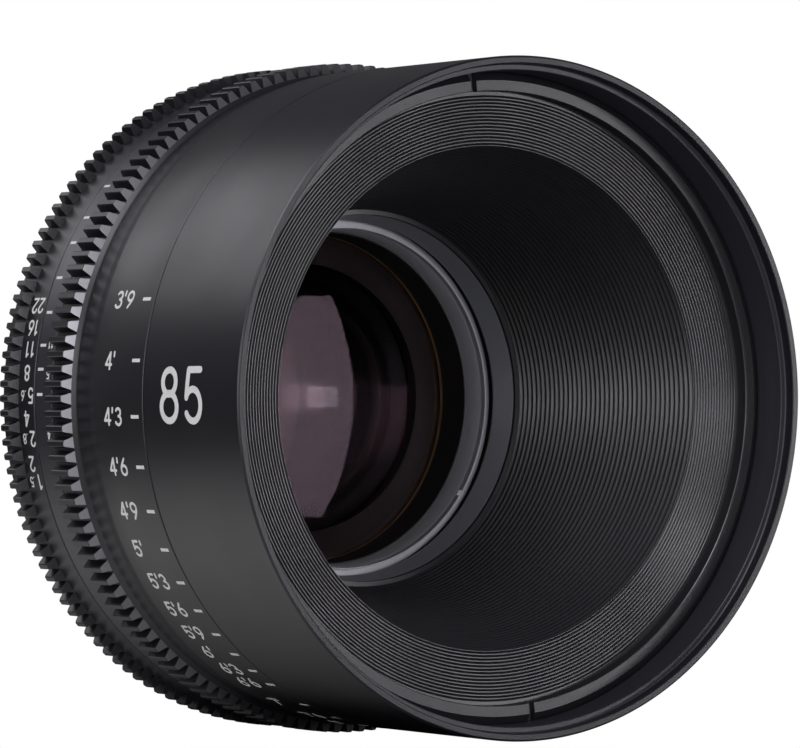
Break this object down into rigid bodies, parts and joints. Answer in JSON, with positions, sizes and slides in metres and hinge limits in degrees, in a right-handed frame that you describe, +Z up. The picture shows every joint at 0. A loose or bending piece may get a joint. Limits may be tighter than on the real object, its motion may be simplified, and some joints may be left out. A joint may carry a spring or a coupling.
{
  "type": "cine_prime_lens",
  "caption": "Cinema prime lens with a deep ridged light baffle, geared focus and iris rings, a moving optical block, an iris diaphragm and a four-tab breech mount.",
  "frame": {"origin": "Centre of the flange seat, the rear face of the four mount tabs, on the optical axis.", "axes": "+Y runs along the optical axis towards the camera, so the front of the lens faces -Y. +Z is up when the lens lies on a camera, and the index line is at -X."},
  "size_m": [0.1176, 0.1126, 0.1176],
  "materials": {
    "black_anodised": "fine satin black anodised",
    "matte_black_anodised": "matte black anodised",
    "bare_aluminium": "turned",
    "steel": "turned",
    "mount_steel": "fine turned stainless",
    "brass": "rolled",
    "slip_plastic": "smooth",
    "coated_glass": "polished and coated",
    "blackened_steel": "blackened"
  },
  "bodies": {
    "lens_body": {"front_barrel": "black_anodised", "baffle_ring": "matte_black_anodised", "light_baffle": "matte_black_anodised", "core_barrel": "bare_aluminium", "front_barrel_screws": "steel", "index_ring": "black_anodised", "index_ring_screws": "steel", "rear_housing": "black_anodised", "rear_housing_screws": "steel", "mount_plate": "mount_steel", "mount_shim": "brass", "mount_screws": "steel", "focus_washer_front": "slip_plastic", "focus_washer_rear": "slip_plastic", "iris_washer_front": "slip_plastic", "iris_washer_rear": "slip_plastic", "focus_stop_pin": "steel", "iris_stop_pin": "steel"},
    "focus_body": {"focus_ring": "black_anodised", "cam_sleeve": "bare_aluminium", "cam_sleeve_screws": "steel"},
    "focus_block": {"focus_cell": "bare_aluminium", "cam_followers": "steel", "front_cell": "matte_black_anodised", "front_cell_screws": "steel", "front_element_ring": "matte_black_anodised", "front_sleeve": "matte_black_anodised", "front_spacer": "matte_black_anodised", "iris_housing": "matte_black_anodised", "iris_housing_screws": "steel", "rear_cell": "matte_black_anodised", "rear_spacer_1": "matte_black_anodised", "rear_spacer_2": "matte_black_anodised", "rear_retaining_ring": "matte_black_anodised", "lens_1": "coated_glass", "lens_2": "coated_glass", "lens_3": "coated_glass", "lens_4": "coated_glass", "lens_5": "coated_glass", "lens_6": "coated_glass", "lens_7": "coated_glass"},
    "iris_body": {"iris_ring": "black_anodised", "iris_drive_arm": "bare_aluminium", "iris_arm_screws": "steel", "iris_link_bar": "bare_aluminium"},
    "iris_cam": {"iris_cam_ring": "brass"},
    "blade_1": {"iris_blade_1": "blackened_steel"},
    "blade_2": {"iris_blade_2": "blackened_steel"},
    "blade_3": {"iris_blade_3": "blackened_steel"},
    "blade_4": {"iris_blade_4": "blackened_steel"},
    "blade_5": {"iris_blade_5": "blackened_steel"},
    "blade_6": {"iris_blade_6": "blackened_steel"},
    "blade_7": {"iris_blade_7": "blackened_steel"},
    "blade_8": {"iris_blade_8": "blackened_steel"},
    "blade_9": {"iris_blade_9": "blackened_steel"},
    "blade_10": {"iris_blade_10": "blackened_steel"},
    "blade_11": {"iris_blade_11": "blackened_steel"}
  },
  "joints": [
    {"name": "focus", "type": "hinge", "parent": "lens_body", "child": "focus_body", "pos_m": [0, -0.056, 0], "axis": [0, 1, 0], "range_deg": [-20.3, 179.7]},
    {"name": "focus_slide", "type": "slide", "parent": "lens_body", "child": "focus_block", "axis": [0, 1, 0], "range_m": [-0.0008, 0.00703]},
    {"name": "iris", "type": "hinge", "parent": "lens_body", "child": "iris_body", "pos_m": [0, -0.029, 0], "axis": [0, 1, 0], "range_deg": [-16.1, 15.4]},
    {"name": "iris_cam_turn", "type": "hinge", "parent": "focus_block", "child": "iris_cam", "pos_m": [0, -0.0182, 0], "axis": [0, 1, 0], "range_deg": [-16.15, 15.45]},
    {"name": "blade_1_swing", "type": "hinge", "parent": "focus_block", "child": "blade_1", "pos_m": [0, -0.0154, 0.0219], "axis": [0, 1, 0], "range_deg": [-18.9, 19.8]},
    {"name": "blade_2_swing", "type": "hinge", "parent": "focus_block", "child": "blade_2", "pos_m": [0.01184, -0.0154, 0.01842], "axis": [0, 1, 0], "range_deg": [-18.9, 19.8]},
    {"name": "blade_3_swing", "type": "hinge", "parent": "focus_block", "child": "blade_3", "pos_m": [0.01992, -0.0154, 0.0091], "axis": [0, 1, 0], "range_deg": [-18.9, 19.8]},
    {"name": "blade_4_swing", "type": "hinge", "parent": "focus_block", "child": "blade_4", "pos_m": [0.02168, -0.0154, -0.00312], "axis": [0, 1, 0], "range_deg": [-18.9, 19.8]},
    {"name": "blade_5_swing", "type": "hinge", "parent": "focus_block", "child": "blade_5", "pos_m": [0.01655, -0.0154, -0.01434], "axis": [0, 1, 0], "range_deg": [-18.9, 19.8]},
    {"name": "blade_6_swing", "type": "hinge", "parent": "focus_block", "child": "blade_6", "pos_m": [0.00617, -0.0154, -0.02101], "axis": [0, 1, 0], "range_deg": [-18.9, 19.8]},
    {"name": "blade_7_swing", "type": "hinge", "parent": "focus_block", "child": "blade_7", "pos_m": [-0.00617, -0.0154, -0.02101], "axis": [0, 1, 0], "range_deg": [-18.9, 19.8]},
    {"name": "blade_8_swing", "type": "hinge", "parent": "focus_block", "child": "blade_8", "pos_m": [-0.01655, -0.0154, -0.01434], "axis": [0, 1, 0], "range_deg": [-18.9, 19.8]},
    {"name": "blade_9_swing", "type": "hinge", "parent": "focus_block", "child": "blade_9", "pos_m": [-0.02168, -0.0154, -0.00312], "axis": [0, 1, 0], "range_deg": [-18.9, 19.8]},
    {"name": "blade_10_swing", "type": "hinge", "parent": "focus_block", "child": "blade_10", "pos_m": [-0.01992, -0.0154, 0.0091], "axis": [0, 1, 0], "range_deg": [-18.9, 19.8]},
    {"name": "blade_11_swing", "type": "hinge", "parent": "focus_block", "child": "blade_11", "pos_m": [-0.01184, -0.0154, 0.01842], "axis": [0, 1, 0], "range_deg": [-18.9, 19.8]}
  ],
  "couplings": [
    {"joint": "focus_slide", "follows": "focus", "m_per_rad": 0.0022393},
    {"joint": "iris_cam_turn", "follows": "iris", "ratio": 1},
    {"joint": "blade_1_swing", "follows": "iris", "ratio": -1.2254},
    {"joint": "blade_2_swing", "follows": "iris", "ratio": -1.2254},
    {"joint": "blade_3_swing", "follows": "iris", "ratio": -1.2254},
    {"joint": "blade_4_swing", "follows": "iris", "ratio": -1.2254},
    {"joint": "blade_5_swing", "follows": "iris", "ratio": -1.2254},
    {"joint": "blade_6_swing", "follows": "iris", "ratio": -1.2254},
    {"joint": "blade_7_swing", "follows": "iris", "ratio": -1.2254},
    {"joint": "blade_8_swing", "follows": "iris", "ratio": -1.2254},
    {"joint": "blade_9_swing", "follows": "iris", "ratio": -1.2254},
    {"joint": "blade_10_swing", "follows": "iris", "ratio": -1.2254},
    {"joint": "blade_11_swing", "follows": "iris", "ratio": -1.2254}
  ]
}
